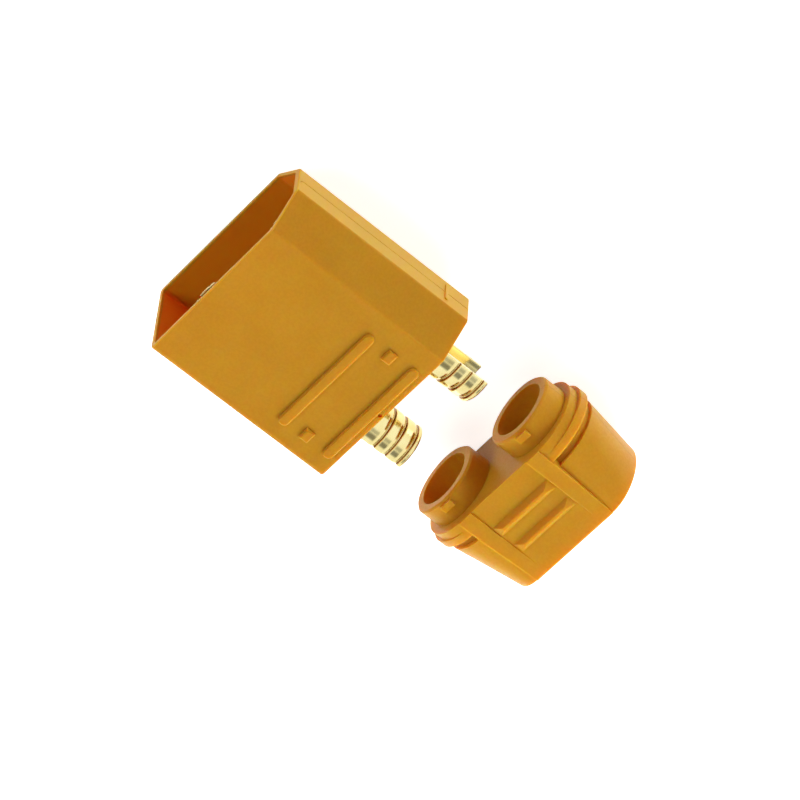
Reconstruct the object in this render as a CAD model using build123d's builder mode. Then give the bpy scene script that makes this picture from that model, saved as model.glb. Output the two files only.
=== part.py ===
from build123d import *
import os
from math import cos, radians, sin

# Two-pole battery connector with 4.5 mm pins, its rear cover taken off and lying behind it.
# +X runs from the mating mouth to the cable side, +Y towards the chamfered narrow end, +Z up.
# The origin is under the middle of the whole thing, on the surface that it lies on.

# The pitch of the poles, shared by housing and cover
pole_pitch = 10.9

# Housing, its keyed outline and its shroud
housing_length = 21.4
end_wall = 1.0
face_wall = 1.2
key_chamfer = 3.35
outer_corner_radius = 0.5
rim_chamfer = 0.1
shroud_wall = 0.75
mouth_wall = 0.45
mouth_key_wall = 0.62
bulkhead_thickness = 5.1
inner_corner_radius = 0.35

# Pin contacts
pin_diameter = 4.5
pin_recess = 1.8
pin_tip_round = 0.9
pin_tip_steps = 3
pin_core_diameter = 2.4
pin_slit_width = 0.45
pin_slit_length = 8.5
pin_slit_turn = 45
collar_diameter = 5.0
collar_clearance = 0.05
lip_thickness = 1.3
seat_diameter = 5.8

# Solder cups
cup_diameter = 5.3
cup_bore_diameter = 4.3
cup_reach = 6.0
cup_cut_start = 0.35
cup_cut_from_axis = 0.65
cup_end_chamfer = 0.15
cup_ring_count = 3
cup_ring_first = 2.55
cup_ring_pitch = 1.45
cup_ring_slope = 0.5
cup_ring_wall = 0.12
cup_ring_depth = 0.22
opening_angle_positive = 180
opening_angle_negative = -14

# Cover: flange with two tiers, neck and tapered body
cover_gap = 13.4
flange_front_thickness = 1.0
flange_front_reach = 4.75
flange_rear_thickness = 0.9
flange_rear_reach = 5.2
flange_flank_drop = 0.15
neck_length = 0.95
neck_reach = 4.35
neck_flank_drop = 0.95
body_length = 7.2
body_front_reach = 4.75
body_front_drop = 0.4
body_rear_reach = 3.3
body_rear_drop = 0.12
plateau_half_width_front = 5.75
plateau_half_width_rear = 5.45

# Sleeves of the cover, their snap bumps, and the passages for cups and cables
sleeve_diameter = 8.0
sleeve_length = 2.4
sleeve_edge_chamfer = 0.2
cup_clearance = 0.4
cup_end_clearance = 0.5
passage_cone_length = 0.8
cable_bore_diameter = 5.3
snap_width = 1.35
snap_length = 0.75
snap_height = 0.3
snap_from_flange = 1.7
snap_pocket_clearance = 0.15
sleeve_clearance = 0.15
counterbore_extra_depth = 0.5
counterbore_chamfer = 0.2

# Marks of the mould: grip ribs, pads, nib, pit and parting lines on the housing, two ribs on the cover
rib_width = 1.15
rib_height = 0.35
rib_chamfer = 0.15
rib_from_rear = (6.9, 1.3)
rib_from_square_end = 2.05
rib_from_key_chamfer = 2.4
pad_length = 1.05
pad_width = 1.3
pad_from_rear = 4.15
pad_from_rib_end = 0.7
nib_length = 0.35
nib_height = 2.6
nib_rise = 0.15
nib_from_rear = 2.9
pit_diameter = 0.5
pit_depth = 0.2
pit_from_rear = 0.45
pit_offset_y = -1.45
parting_line_width = 0.1
parting_line_depth = 0.07
parting_hook_radius = 0.4
parting_hook_from_mouth = 0.65
grip_rib_length = 8.2
grip_rib_width = 1.4
grip_rib_crest_length = 6.0
grip_rib_crest_width = 0.3
grip_rib_height = 0.4
grip_rib_from_flange = (3.45, 6.15)
valley_width = 8.0
valley_depth = 0.2
valley_length = 9.0

# Sizes that follow from those above
counterbore_radius = sleeve_diameter / 2 + sleeve_clearance
counterbore_depth = sleeve_length + counterbore_extra_depth
housing_width = pole_pitch + 2 * (counterbore_radius + end_wall)
thickness = 2 * (counterbore_radius + face_wall)
shroud_depth = housing_length - counterbore_depth - bulkhead_thickness
sleeve_bore_radius = cup_diameter / 2 + cup_clearance

# Places along X, from the mouth to the cover's rear end
flange_length = flange_front_thickness + flange_rear_thickness
cover_body_start = flange_length + neck_length
cover_length = cover_body_start + body_length
total_length = housing_length + cover_gap + cover_length
mouth_x = -total_length / 2
rear_x = mouth_x + housing_length
bulkhead_x = mouth_x + shroud_depth
cover_x = rear_x + cover_gap
cover_rear_x = cover_x + cover_length

# Shared places and sizes
axis_z = thickness / 2
pole_y = pole_pitch / 2
across = Plane(origin=(0, 0, axis_z), x_dir=(0, 1, 0), z_dir=(1, 0, 0))
large_face = Plane.XY.offset(thickness)
cup_floor_x = rear_x - counterbore_depth
seat_x = bulkhead_x + lip_thickness


def add_keyed_outline(wall, key_wall):
    """Adds the keyed outline, set in by the walls: a rectangle without its two +Y corners."""
    square_end_y = -housing_width / 2 + wall
    key_end_y = housing_width / 2 - key_wall
    half_height = thickness / 2 - wall
    slope_reach = housing_width / 2 + thickness / 2 - key_chamfer - wall * 2 ** 0.5
    Polygon(
        (square_end_y, -half_height),
        (slope_reach - half_height, -half_height),
        (key_end_y, key_end_y - slope_reach),
        (key_end_y, slope_reach - key_end_y),
        (slope_reach - half_height, half_height),
        (square_end_y, half_height),
        align=None,
    )


def add_rounded_section(reach, drop, plateau_half_width):
    """Adds a cover section: two rounded flanks around the poles and a flat plateau across them."""
    with Locations((-pole_y, 0), (pole_y, 0)):
        Ellipse(reach, thickness / 2 - drop)
    Rectangle(pole_pitch, 2 * (thickness / 2 - drop))
    Rectangle(2 * plateau_half_width, thickness)


with BuildPart() as housing:
    with BuildSketch(across.offset(mouth_x)) as outline:
        add_keyed_outline(0, 0)
        fillet(outline.vertices(), outer_corner_radius)
    extrude(amount=housing_length)

    chamfer(housing.faces().sort_by(Axis.X)[0].edges(), rim_chamfer)
    chamfer(housing.faces().sort_by(Axis.X)[-1].edges(), rim_chamfer)

    # Shroud cavity, open at the mouth, its walls thinner there by the draft of the core
    with BuildSketch(across.offset(mouth_x)) as cavity_mouth:
        add_keyed_outline(mouth_wall, mouth_key_wall)
        fillet(cavity_mouth.vertices(), inner_corner_radius)
    with BuildSketch(across.offset(bulkhead_x)) as cavity_floor:
        add_keyed_outline(shroud_wall, shroud_wall)
        fillet(cavity_floor.vertices(), inner_corner_radius)
    loft(ruled=True, mode=Mode.SUBTRACT)

    # Counterbores for the cover's sleeves, seats of the contacts and holes for their collars
    with BuildSketch(across.offset(rear_x)):
        with Locations((-pole_y, 0), (pole_y, 0)):
            Circle(counterbore_radius)
    extrude(amount=-counterbore_depth, mode=Mode.SUBTRACT)
    chamfer(housing.faces().sort_by(Axis.X)[-1].inner_wires().edges(), counterbore_chamfer)
    with BuildSketch(across.offset(cup_floor_x)):
        with Locations((-pole_y, 0), (pole_y, 0)):
            Circle(seat_diameter / 2)
    extrude(amount=seat_x - cup_floor_x, mode=Mode.SUBTRACT)
    with BuildSketch(across.offset(seat_x)):
        with Locations((-pole_y, 0), (pole_y, 0)):
            Circle(collar_diameter / 2 + collar_clearance)
    extrude(amount=-lip_thickness, mode=Mode.SUBTRACT)

    # Pockets that the snap bumps drop into, above and below each pole
    pocket_height = 2 * (sleeve_diameter / 2 + snap_height + snap_pocket_clearance)
    pocket_length = snap_length + 2 * snap_pocket_clearance
    with BuildSketch(across.offset(rear_x - snap_from_flange - pocket_length / 2)):
        with Locations((-pole_y, 0), (pole_y, 0)):
            Rectangle(snap_width + 2 * snap_pocket_clearance, pocket_height)
    extrude(amount=pocket_length, mode=Mode.SUBTRACT)

    # Grip ribs and pads on the large face
    rib_low_y = -housing_width / 2 + rib_from_square_end
    rib_high_y = housing_width / 2 - key_chamfer - rib_from_key_chamfer
    with BuildSketch(large_face):
        with Locations(*[(rear_x - x, (rib_low_y + rib_high_y) / 2) for x in rib_from_rear]):
            SlotOverall(rib_high_y - rib_low_y, rib_width, rotation=90)
        with Locations(*[(rear_x - pad_from_rear, y) for y in
                         (rib_low_y + pad_from_rib_end, rib_high_y - pad_from_rib_end)]):
            Rectangle(pad_length, pad_width)
    extrude(amount=rib_height)
    chamfer(housing.faces().sort_by(Axis.Z)[-4:].edges(), rib_chamfer)

    # Parting lines along both narrow ends, the one on the chamfered end with a hook beside the mouth
    with BuildSketch(Plane.XZ.offset(housing_width / 2)):
        with Locations((mouth_x, axis_z)):
            Rectangle(housing_length, parting_line_width, align=(Align.MIN, Align.CENTER))
    extrude(amount=-parting_line_depth, mode=Mode.SUBTRACT)
    with BuildSketch(Plane.XZ.offset(-housing_width / 2)):
        with BuildLine():
            hook_start = (mouth_x + parting_hook_from_mouth, axis_z)
            Line((rear_x, axis_z), hook_start)
            JernArc(hook_start, (-1, 0), parting_hook_radius, -90)
        trace(line_width=parting_line_width)
    extrude(amount=parting_line_depth, mode=Mode.SUBTRACT)

    # Nib across the parting line of the chamfered end, and the pit beside the rear edge
    with BuildSketch(Plane.XZ.offset(parting_line_depth - housing_width / 2)):
        with Locations((rear_x - nib_from_rear, axis_z)):
            SlotOverall(nib_height, nib_length, rotation=90)
    extrude(amount=-parting_line_depth - nib_rise)
    with BuildSketch(large_face):
        with Locations((rear_x - pit_from_rear, pit_offset_y)):
            RegularPolygon(pit_diameter / 2, 8)
    extrude(amount=-pit_depth, mode=Mode.SUBTRACT)


def make_contact(side, opening_angle):
    """Makes one turned contact: split pin, collar, seat in the bulkhead and cup with a cut side."""
    contact_y = side * pole_y
    lengthwise = Plane(origin=(0, contact_y, axis_z), x_dir=(1, 0, 0), z_dir=(0, 0, 1))
    tip_x = mouth_x + pin_recess
    cup_end_x = rear_x + cup_reach
    ring_places = [rear_x + cup_ring_first + i * cup_ring_pitch for i in range(cup_ring_count)]
    nose = [
        (
            tip_x + pin_tip_round * (1 - cos(radians(90 * i / pin_tip_steps))),
            pin_diameter / 2 - pin_tip_round * (1 - sin(radians(90 * i / pin_tip_steps))),
        )
        for i in range(pin_tip_steps + 1)
    ]

    with BuildPart() as contact:
        with BuildSketch(lengthwise) as profile:
            Polygon((tip_x, 0), *nose, (bulkhead_x, pin_diameter / 2), (bulkhead_x, 0), align=None)
            with Locations((bulkhead_x, 0)):
                Rectangle(lip_thickness, collar_diameter / 2, align=(Align.MIN, Align.MIN))
            with Locations((seat_x, 0)):
                Rectangle(cup_floor_x - seat_x, seat_diameter / 2, align=(Align.MIN, Align.MIN))
            with Locations((cup_floor_x, 0)):
                Rectangle(cup_end_x - cup_floor_x, cup_diameter / 2, align=(Align.MIN, Align.MIN))
            chamfer(profile.vertices().group_by(Axis.X)[-1].sort_by(Axis.Y)[-1], cup_end_chamfer)
            with Locations(*[(x, cup_diameter / 2) for x in ring_places]):
                Polygon(
                    (-cup_ring_slope, 0),
                    (0, -cup_ring_depth),
                    (cup_ring_wall, 0),
                    align=None,
                    mode=Mode.SUBTRACT,
                )
        revolve(axis=Axis(lengthwise.origin, lengthwise.x_dir))

        # Solder cup: bore from the end and its side cut away
        with BuildSketch(across.offset(cup_end_x)):
            with Locations((contact_y, 0)):
                Circle(cup_bore_diameter / 2)
        extrude(amount=cup_cut_start - cup_reach, mode=Mode.SUBTRACT)
        with BuildSketch(across.offset(cup_end_x)):
            with Locations((contact_y, 0)):
                with PolarLocations(cup_cut_from_axis, 1, start_angle=opening_angle):
                    Rectangle(cup_diameter, 2 * cup_diameter, align=(Align.MIN, Align.CENTER))
        extrude(amount=cup_cut_start - cup_reach, mode=Mode.SUBTRACT)

        # Split pin: core hole and crossed slits
        with BuildSketch(across.offset(tip_x)):
            with Locations((contact_y, 0)):
                Circle(pin_core_diameter / 2)
                Rectangle(2 * pin_diameter, pin_slit_width, rotation=pin_slit_turn)
                Rectangle(2 * pin_diameter, pin_slit_width, rotation=pin_slit_turn + 90)
        extrude(amount=pin_slit_length, mode=Mode.SUBTRACT)
    return contact.part


contact_positive = make_contact(-1, opening_angle_positive)
contact_negative = make_contact(1, opening_angle_negative)

with BuildPart() as cover:
    # Flange in two tiers, then the neck
    with BuildSketch(across.offset(cover_x)):
        add_rounded_section(flange_front_reach, flange_flank_drop, plateau_half_width_front)
    extrude(amount=flange_front_thickness)
    with BuildSketch(across.offset(cover_x + flange_front_thickness)):
        add_rounded_section(flange_rear_reach, flange_flank_drop, plateau_half_width_front)
    extrude(amount=flange_rear_thickness)
    with BuildSketch(across.offset(cover_x + flange_length)):
        add_rounded_section(neck_reach, neck_flank_drop, plateau_half_width_front)
    extrude(amount=neck_length)

    # Tapered body
    with BuildSketch(across.offset(cover_x + cover_body_start)):
        add_rounded_section(body_front_reach, body_front_drop, plateau_half_width_front)
    with BuildSketch(across.offset(cover_rear_x)):
        add_rounded_section(body_rear_reach, body_rear_drop, plateau_half_width_rear)
    loft(ruled=True)

    # Sleeves with their snap bumps
    with BuildSketch(across.offset(cover_x)):
        with Locations((-pole_y, 0), (pole_y, 0)):
            Circle(sleeve_diameter / 2)
    extrude(amount=-sleeve_length)
    chamfer(cover.faces().sort_by(Axis.X)[:2].edges(), sleeve_edge_chamfer)
    with BuildSketch(across.offset(cover_x - snap_from_flange - snap_length / 2)):
        with Locations((-pole_y, 0), (pole_y, 0)):
            Rectangle(snap_width, sleeve_diameter + 2 * snap_height)
    extrude(amount=snap_length)

    # Passages: wide round the cups, then a cone down to the bore for the cable
    wide_length = cup_reach + cup_end_clearance
    for side in (-1, 1):
        lengthwise = Plane(origin=(cover_x, side * pole_y, axis_z), x_dir=(1, 0, 0), z_dir=(0, 0, 1))
        with BuildSketch(lengthwise):
            Polygon(
                (-sleeve_length, 0),
                (-sleeve_length, sleeve_bore_radius),
                (wide_length, sleeve_bore_radius),
                (wide_length + passage_cone_length, cable_bore_diameter / 2),
                (cover_length, cable_bore_diameter / 2),
                (cover_length, 0),
                align=None,
            )
        revolve(axis=Axis(lengthwise.origin, lengthwise.x_dir), mode=Mode.SUBTRACT)

    # Shallow valley between the poles, fading out towards the rear, and two grip ribs across it
    with BuildSketch(Plane.XZ.offset(-valley_width / 2)):
        Polygon(
            (cover_x, thickness),
            (cover_x, thickness - valley_depth),
            (cover_x + valley_length, thickness),
            align=None,
        )
    extrude(amount=valley_width, mode=Mode.SUBTRACT)
    for rib_x in grip_rib_from_flange:
        with BuildSketch(large_face.offset(-valley_depth)):
            with Locations((cover_x + rib_x, 0)):
                Rectangle(grip_rib_width, grip_rib_length)
        with BuildSketch(large_face.offset(grip_rib_height)):
            with Locations((cover_x + rib_x, 0)):
                Rectangle(grip_rib_crest_width, grip_rib_crest_length)
        loft(ruled=True)

housing.part.label = "housing"
contact_positive.label = "contact_positive"
contact_negative.label = "contact_negative"
cover.part.label = "cover"

os.makedirs("parts", exist_ok=True)
export_step(housing.part, "parts/housing.step")
export_step(contact_positive, "parts/contact_positive.step")
export_step(contact_negative, "parts/contact_negative.step")
export_step(cover.part, "parts/cover.step")
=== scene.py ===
import bpy
from mathutils import Matrix, Vector


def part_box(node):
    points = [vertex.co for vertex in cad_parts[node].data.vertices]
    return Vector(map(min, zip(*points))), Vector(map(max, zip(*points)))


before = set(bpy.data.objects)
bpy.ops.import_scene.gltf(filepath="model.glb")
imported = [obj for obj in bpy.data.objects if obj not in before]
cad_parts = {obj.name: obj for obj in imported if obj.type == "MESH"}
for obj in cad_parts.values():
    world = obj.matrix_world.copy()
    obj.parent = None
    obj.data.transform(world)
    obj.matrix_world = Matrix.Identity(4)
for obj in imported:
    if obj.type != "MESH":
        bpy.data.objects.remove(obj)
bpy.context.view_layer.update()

# Camera, matched to the housing's corners in the photograph
TO_CAMERA = Vector((-0.3275, 0.4300, 0.8413))
IMAGE_UP = Vector((-0.5723, 0.6183, -0.5388))
CAMERA_DISTANCE = 0.450
PICTURE_SIZE = 800
SENSOR_WIDTH = 36.0
PIXELS_PER_METRE = 10452.0
HOUSING_PIXEL = (311.8, 314.9)

# Colours, as linear values
AMBER = (0.62, 0.31, 0.022, 1.0)
AMBER_DEEP = (0.56, 0.262, 0.017, 1.0)
COVER_AMBER = (0.66, 0.33, 0.024, 1.0)
COVER_AMBER_DEEP = (0.60, 0.28, 0.018, 1.0)
# painted light: the deeper orange inside the shroud, for light that comes through the walls
AMBER_INSIDE_PAINTED_LIGHT = (0.80, 0.25, 0.008, 1.0)
# painted light: the paler narrow ends, for the light and sheen that fall on them
AMBER_END_PAINTED_LIGHT = (0.74, 0.43, 0.065, 1.0)
# painted light: the paler edge around the mouth, for light through the thin wall and on its edge
AMBER_EDGE_PAINTED_LIGHT = (0.86, 0.43, 0.04, 1.0)
# painted shade: the darker grooves of the parting lines
AMBER_LINE_PAINTED_SHADE = (0.60, 0.29, 0.02, 1.0)
COVER_LINE = (0.40, 0.16, 0.008, 1.0)
GOLD = (0.98, 0.87, 0.44, 1.0)
GOLD_WORN = (0.92, 0.77, 0.32, 1.0)
# painted shade: the dark brown in the roots of the cups' rings
GOLD_PAINTED_SHADE = (0.32, 0.16, 0.05, 1.0)
WHITE = (1.0, 1.0, 1.0, 1.0)

# Where the nylon and the gold change, and where light and shade are painted on them: the shroud's
# walls, the mouth's edge, the parting lines and the rings of the cups
NIB_RISE = 0.00015
RIB_HEIGHT = 0.00035
MOUTH_EDGE = 0.00012
NARROW_END_SKIN = 0.00001
LINE_HALF_WIDTH = 0.00005
LINE_DEPTH = (0.00003, 0.00012)
LINE_Z = (0.0047, 0.0065)
LINE_FROM_ENDS = 0.00015
WALL = 0.0003
SHROUD_DEPTH = 0.0129
CHAMFER_REACH = 0.0126
AXIS_Z = 0.00535
POLE_Y = 0.00545
FLANK_FROM = 0.0086
CUP_WALL_RADIUS = 0.0023
RINGS_FROM_END = (0.00345, 0.0020, 0.00055)
RING_ROOT = (-0.00002, 0.00009)
NYLON_EDGE_ROUND = 0.00006
GOLD_EDGE_ROUND = 0.00022

# The surround: the dim stretch of sky over the mating side, and the dark cards that the metal shows
DIM_DIRECTION = Vector((-0.15, 0.50, 0.85)).normalized()
CARDS = (
    (Vector((0.33, -0.28, 0.90)).normalized(), 0.955, 0.995, 0.25),
    (Vector((0.33, 0.15, 0.93)).normalized(), 0.980, 0.998, 0.45),
    (Vector((-0.90, 0.10, -0.10)).normalized(), 0.60, 0.90, 0.25),
)
FLOOR_GREY = 0.88
FLOOR_GLOW = 0.78


class Graph:
    """Short calls to add and link the nodes of a material or a world."""

    def __init__(self, tree, place):
        self.nodes = tree.nodes
        self.links = tree.links
        self.place = self.add("ShaderNodeTexCoord").outputs[place]

    def add(self, kind, **values):
        node = self.nodes.new(kind)
        for key, value in values.items():
            setattr(node, key, value)
        return node

    def put(self, value, socket):
        """Links a node's output to a socket, or sets the socket to a plain value."""
        if isinstance(value, bpy.types.NodeSocket):
            self.links.new(value, socket)
        else:
            socket.default_value = value

    def math(self, operation, first, second):
        node = self.add("ShaderNodeMath", operation=operation)
        self.put(first, node.inputs[0])
        self.put(second, node.inputs[1])
        return node.outputs["Value"]

    def dot(self, vector, direction):
        node = self.add("ShaderNodeVectorMath", operation="DOT_PRODUCT")
        self.put(vector, node.inputs[0])
        self.put(direction, node.inputs[1])
        return node.outputs["Value"]

    def ramp(self, value, start, end, low, high):
        """Maps a value from the stretch start to end onto low to high."""
        node = self.add("ShaderNodeMapRange", interpolation_type="SMOOTHSTEP")
        self.put(value, node.inputs["Value"])
        self.put(start, node.inputs["From Min"])
        self.put(end, node.inputs["From Max"])
        self.put(low, node.inputs["To Min"])
        self.put(high, node.inputs["To Max"])
        return node.outputs["Result"]

    def within(self, axis, low, high):
        """1 where the place on an axis lies between two values, else 0."""
        place = self.add("ShaderNodeSeparateXYZ")
        self.put(self.place, place.inputs["Vector"])
        above = self.math("GREATER_THAN", place.outputs[axis], low)
        return self.math("MULTIPLY", above, self.math("LESS_THAN", place.outputs[axis], high))

    def distance(self, centre):
        """The distance across X from a point, the same on both sides of the middle."""
        flat = self.add("ShaderNodeVectorMath", operation="MULTIPLY")
        self.put(self.place, flat.inputs[0])
        self.put((0, 1, 1), flat.inputs[1])
        mirrored = self.add("ShaderNodeVectorMath", operation="ABSOLUTE")
        self.put(flat.outputs["Vector"], mirrored.inputs[0])
        node = self.add("ShaderNodeVectorMath", operation="DISTANCE")
        self.put(mirrored.outputs["Vector"], node.inputs[0])
        self.put(centre, node.inputs[1])
        return node.outputs["Value"]

    def noise(self, per_metre, detail=2.0, stretch=(1, 1, 1)):
        """A noise with about so many features to the metre, stretched along the axes."""
        mapping = self.add("ShaderNodeMapping")
        self.put(self.place, mapping.inputs["Vector"])
        self.put([per_metre * s for s in stretch], mapping.inputs["Scale"])
        noise = self.add("ShaderNodeTexNoise")
        self.put(mapping.outputs["Vector"], noise.inputs["Vector"])
        self.put(1.0, noise.inputs["Scale"])
        self.put(detail, noise.inputs["Detail"])
        return noise.outputs["Fac"]

    def mix(self, factor, first, second, kind="FLOAT"):
        node = self.add("ShaderNodeMix", data_type=kind)
        self.put(factor, node.inputs["Factor"])
        sockets = [s for s in node.inputs if s.enabled and s.name in ("A", "B")]
        self.put(first, sockets[0])
        self.put(second, sockets[1])
        return next(s for s in node.outputs if s.enabled)

    def ray_is(self, *rays):
        """1 for the kinds of rays that are named, else 0."""
        path = self.add("ShaderNodeLightPath")
        value = path.outputs[rays[0]]
        for ray in rays[1:]:
            value = self.math("MAXIMUM", value, path.outputs[ray])
        return value


def make_camera():
    """Places the camera so that the housing's middle falls on its pixel of the photograph."""
    low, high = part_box("housing")
    pin_low, pin_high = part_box("contact_positive")
    centre = Vector(((low.x + high.x) / 2, 0, (pin_low.z + pin_high.z) / 2))

    back = TO_CAMERA.normalized()
    right = IMAGE_UP.cross(back).normalized()
    up = back.cross(right)
    across = (HOUSING_PIXEL[0] - PICTURE_SIZE / 2) / PIXELS_PER_METRE
    down = (HOUSING_PIXEL[1] - PICTURE_SIZE / 2) / PIXELS_PER_METRE
    place = centre - across * right + down * up + CAMERA_DISTANCE * back

    data = bpy.data.cameras.new("camera")
    data.sensor_width = SENSOR_WIDTH
    data.lens = PIXELS_PER_METRE * CAMERA_DISTANCE * SENSOR_WIDTH / PICTURE_SIZE
    data.clip_start = 0.01
    data.clip_end = 20
    camera = bpy.data.objects.new("camera", data)
    turn = Matrix((right, up, back)).transposed()
    camera.matrix_world = Matrix.Translation(place) @ turn.to_4x4()
    bpy.context.scene.collection.objects.link(camera)
    bpy.context.scene.camera = camera


def new_material(name):
    """A node material, its graph over object coordinates and its Principled shader."""
    material = bpy.data.materials.new(name)
    material.use_nodes = True
    graph = Graph(material.node_tree, "Object")
    return material, graph, graph.nodes["Principled BSDF"].inputs


def add_bumps(graph, surface, edge_round, heights):
    """Adds bumps, each a value with its height in metres, over edges that look a little round."""
    bevel = graph.add("ShaderNodeBevel", samples=6)
    graph.put(edge_round, bevel.inputs["Radius"])
    normal = bevel.outputs["Normal"]
    for value, height in heights:
        bump = graph.add("ShaderNodeBump")
        graph.put(height, bump.inputs["Distance"])
        graph.put(value, bump.inputs["Height"])
        graph.put(normal, bump.inputs["Normal"])
        normal = bump.outputs["Normal"]
    graph.put(normal, surface["Normal"])


def nylon(name, colours, grain, roughness, sheen, glow, depth, patches=()):
    """Moulded amber nylon: fine grain, slight clouding, and light that spreads under the skin."""
    material, graph, surface = new_material(name)
    clouds = graph.ramp(graph.noise(150, detail=3), 0.3, 0.7, 0.0, 1.0)
    speckle = graph.ramp(graph.noise(3800, detail=1), 0.3, 0.7, 0.0, 1.0)
    shade = graph.mix(0.45, clouds, speckle)
    colour = graph.mix(shade, *colours, "RGBA")
    for patch in patches:
        colour = patch(graph, colour)
    graph.put(colour, surface["Base Color"])
    graph.put(graph.ramp(speckle, 0.0, 1.0, roughness - 0.05, roughness + 0.05), surface["Roughness"])
    graph.put(1.25, surface["IOR"])
    graph.put(0.5, surface["Specular IOR Level"])
    graph.put((1.0, 0.75, 0.4, 1.0), surface["Specular Tint"])
    graph.put(sheen, surface["Sheen Weight"])
    graph.put((1.0, 0.85, 0.6, 1.0), surface["Sheen Tint"])
    graph.put(glow, surface["Subsurface Weight"])
    graph.put((1.0, 0.30, 0.03), surface["Subsurface Radius"])
    graph.put(depth, surface["Subsurface Scale"])
    add_bumps(graph, surface, NYLON_EDGE_ROUND, [
        (graph.noise(5200, detail=2), grain),
        (graph.noise(700, detail=1), 3 * grain),
    ])
    return material


def shroud_inside_painted_light(graph, colour):
    """Painted light: inside the shroud, where light mostly comes through the walls, the nylon is
    painted a deeper orange.
    """
    low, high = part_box("housing")
    inside = graph.within("X", low.x + WALL, low.x + SHROUD_DEPTH)
    inside = graph.math("MULTIPLY", inside, graph.within("Y", low.y + WALL, high.y - NIB_RISE - WALL))
    inside = graph.math("MULTIPLY", inside, graph.within("Z", low.z + WALL, high.z - RIB_HEIGHT - WALL))
    for side in (-1, 1):
        reach = graph.dot(graph.place, (0, 1, side))
        limit = CHAMFER_REACH - WALL * 2 ** 0.5 + side * AXIS_Z
        inside = graph.math("MULTIPLY", inside, graph.math("LESS_THAN", reach, limit))
    return graph.mix(inside, colour, AMBER_INSIDE_PAINTED_LIGHT, "RGBA")


def narrow_ends_painted_light(graph, colour):
    """Painted light: the two narrow ends are painted a little paler, for the light and sheen that fall
    on them.
    """
    low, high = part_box("housing")
    end = graph.math(
        "ADD",
        graph.within("Y", low.y - WALL, low.y + NARROW_END_SKIN),
        graph.within("Y", high.y - NIB_RISE - NARROW_END_SKIN, high.y + WALL),
    )
    return graph.mix(end, colour, AMBER_END_PAINTED_LIGHT, "RGBA")


def mouth_edge_painted_light(graph, colour):
    """Painted light: the thin edge around the mouth is painted paler, for the light that shines through
    the thin wall and catches its edge.
    """
    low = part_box("housing")[0]
    edge = graph.within("X", low.x - WALL, low.x + MOUTH_EDGE)
    return graph.mix(edge, colour, AMBER_EDGE_PAINTED_LIGHT, "RGBA")


def parting_lines_painted_shade(graph, colour):
    """Painted shade: the grooves of the parting lines are painted a little darker."""
    low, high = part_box("housing")
    end = high.y - NIB_RISE
    line = graph.math(
        "ADD",
        graph.within("Y", low.y + LINE_DEPTH[0], low.y + LINE_DEPTH[1]),
        graph.within("Y", end - LINE_DEPTH[1], end - LINE_DEPTH[0]),
    )
    line = graph.math("MULTIPLY", line, graph.within("Z", *LINE_Z))
    along = graph.within("X", low.x + LINE_FROM_ENDS, high.x - LINE_FROM_ENDS)
    line = graph.math("MULTIPLY", line, along)
    return graph.mix(line, colour, AMBER_LINE_PAINTED_SHADE, "RGBA")


def flank_lines(graph, colour):
    """The mould's parting line shows faintly on the cover's two flanks."""
    line = graph.within("Z", AXIS_Z - LINE_HALF_WIDTH, AXIS_Z + LINE_HALF_WIDTH)
    inner = graph.within("Y", -FLANK_FROM, FLANK_FROM)
    line = graph.math("MULTIPLY", line, graph.math("SUBTRACT", 0.5, inner))
    return graph.mix(graph.math("MAXIMUM", line, 0.0), colour, COVER_LINE, "RGBA")


def gold_plating():
    """Bright gold on turned brass: fine rings around the axis and a little unevenness, with painted
    shade in the roots of the cups' rings.
    """
    material, graph, surface = new_material("gold_plating")
    worn = graph.ramp(graph.noise(500), 0.3, 0.7, 0.0, 1.0)
    colour = graph.mix(worn, GOLD, GOLD_WORN, "RGBA")
    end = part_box("contact_positive")[1].x
    outside = graph.math("GREATER_THAN", graph.distance((0, POLE_Y, AXIS_Z)), CUP_WALL_RADIUS)
    # painted shade in the roots of the rings on the cups
    for place in RINGS_FROM_END:
        root = graph.within("X", end - place + RING_ROOT[0], end - place + RING_ROOT[1])
        root = graph.math("MULTIPLY", root, outside)
        colour = graph.mix(root, colour, GOLD_PAINTED_SHADE, "RGBA")
    graph.put(colour, surface["Base Color"])
    graph.put(1.0, surface["Metallic"])
    graph.put(graph.ramp(graph.noise(1200), 0.3, 0.7, 0.10, 0.17), surface["Roughness"])
    add_bumps(graph, surface, GOLD_EDGE_ROUND, [
        (graph.noise(9000, detail=1, stretch=(1, 0.03, 0.03)), 0.0000010),
        (graph.noise(900, detail=1), 0.000006),
    ])
    return material


def dress():
    """Gives each CAD node its material."""
    gold = gold_plating()
    looks = {
        "housing": nylon(
            "housing_nylon", (AMBER, AMBER_DEEP),
            grain=0.0000035, roughness=0.48, sheen=0.05, glow=0.8, depth=0.0013,
            # the patches paint light inside the shroud, on the narrow ends and on the mouth's edge, and
            # shade in the parting lines
            patches=(shroud_inside_painted_light, narrow_ends_painted_light, mouth_edge_painted_light, parting_lines_painted_shade),
        ),
        "cover": nylon(
            "cover_nylon", (COVER_AMBER, COVER_AMBER_DEEP),
            grain=0.0000015, roughness=0.40, sheen=0.03, glow=0.9, depth=0.0020,
            patches=(flank_lines,),
        ),
        "contact_positive": gold,
        "contact_negative": gold,
    }
    for node, material in looks.items():
        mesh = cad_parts[node].data
        mesh.materials.clear()
        mesh.materials.append(material)


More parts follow.
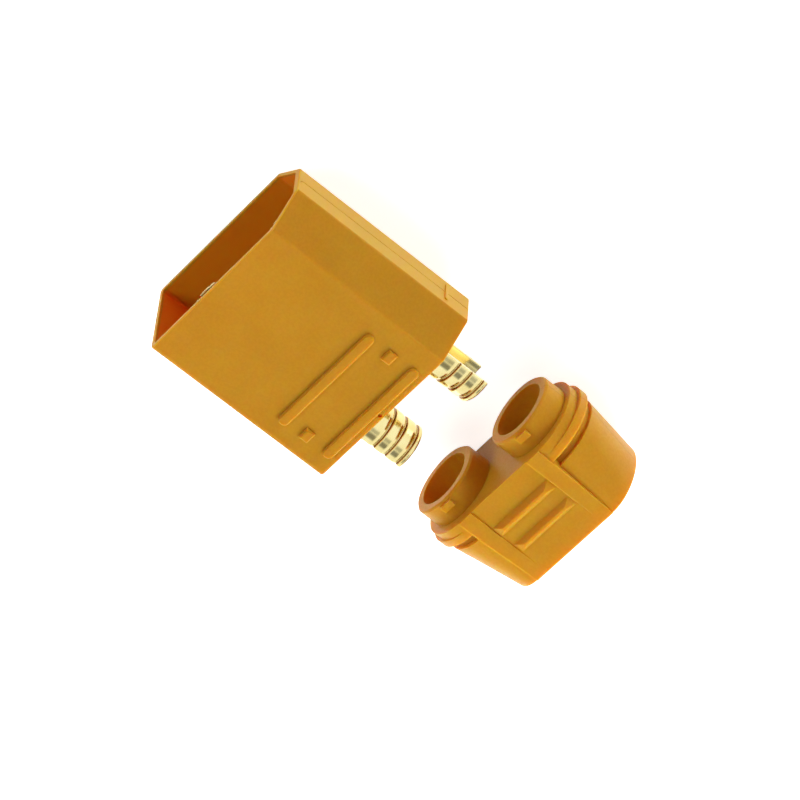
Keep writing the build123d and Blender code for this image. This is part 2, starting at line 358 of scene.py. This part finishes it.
def make_floor():
    """A plain pale floor that looks white to the camera and still keeps the shadows."""
    bpy.ops.mesh.primitive_plane_add(size=3.0, location=(0, 0, -0.00001))
    floor = bpy.context.object
    floor.name = "floor"
    material, graph, surface = new_material("floor")
    graph.put((FLOOR_GREY, FLOOR_GREY, FLOOR_GREY, 1.0), surface["Base Color"])
    graph.put(0.8, surface["Roughness"])
    graph.put(0.2, surface["Specular IOR Level"])
    graph.put(WHITE, surface["Emission Color"])
    seen = graph.ray_is("Is Camera Ray", "Is Glossy Ray")
    graph.put(graph.math("MULTIPLY", seen, FLOOR_GLOW), surface["Emission Strength"])
    floor.data.materials.append(material)


def make_world():
    """A surround, white to the camera, dim on the mating side, with dark cards for the metal."""
    world = bpy.data.worlds.new("surround")
    world.use_nodes = True
    graph = Graph(world.node_tree, "Generated")
    side = graph.ramp(graph.dot(graph.place, (1, 0, 0)), -0.8, 0.8, 0.12, 0.42)
    dim = graph.ramp(graph.dot(graph.place, DIM_DIRECTION), 0.60, 0.95, 1.0, 0.2)
    shown = 1.0
    for direction, start, end, strength in CARDS:
        card = graph.ramp(graph.dot(graph.place, direction), start, end, 1.0, strength)
        shown = graph.math("MULTIPLY", shown, card)
    lit = graph.mix(graph.ray_is("Is Glossy Ray"), graph.math("MULTIPLY", side, dim), shown)
    strength = graph.mix(graph.ray_is("Is Camera Ray", "Is Transmission Ray"), lit, 1.0)
    background = graph.nodes["Background"].inputs
    graph.put(strength, background["Strength"])
    graph.put(WHITE, background["Color"])
    bpy.context.scene.world = world


def area_light(name, direction, distance, size, watts):
    """A square soft light that looks at the object from a direction."""
    data = bpy.data.lights.new(name, "AREA")
    data.shape = "SQUARE"
    data.size = size
    data.energy = watts
    light = bpy.data.objects.new(name, data)
    away = Vector(direction).normalized()
    light.location = away * distance
    light.rotation_euler = away.to_track_quat("Z", "Y").to_euler()
    light.visible_glossy = False
    bpy.context.scene.collection.objects.link(light)


def make_lights():
    """Soft studio light, strongest from the cable side and low from the side of the chamfered end."""
    area_light("key", (0.80, -0.35, 0.49), 0.5, 0.30, 1.8)
    area_light("side", (0.25, 0.96, 0.05), 0.5, 0.22, 2.2)
    area_light("top", (0.35, -0.65, 0.68), 0.6, 0.35, 1.1)
    area_light("front", (-0.72, -0.25, 0.62), 0.5, 0.20, 0.8)


make_camera()
dress()
make_floor()
make_world()
make_lights()
bpy.context.scene.view_settings.view_transform = "Standard"
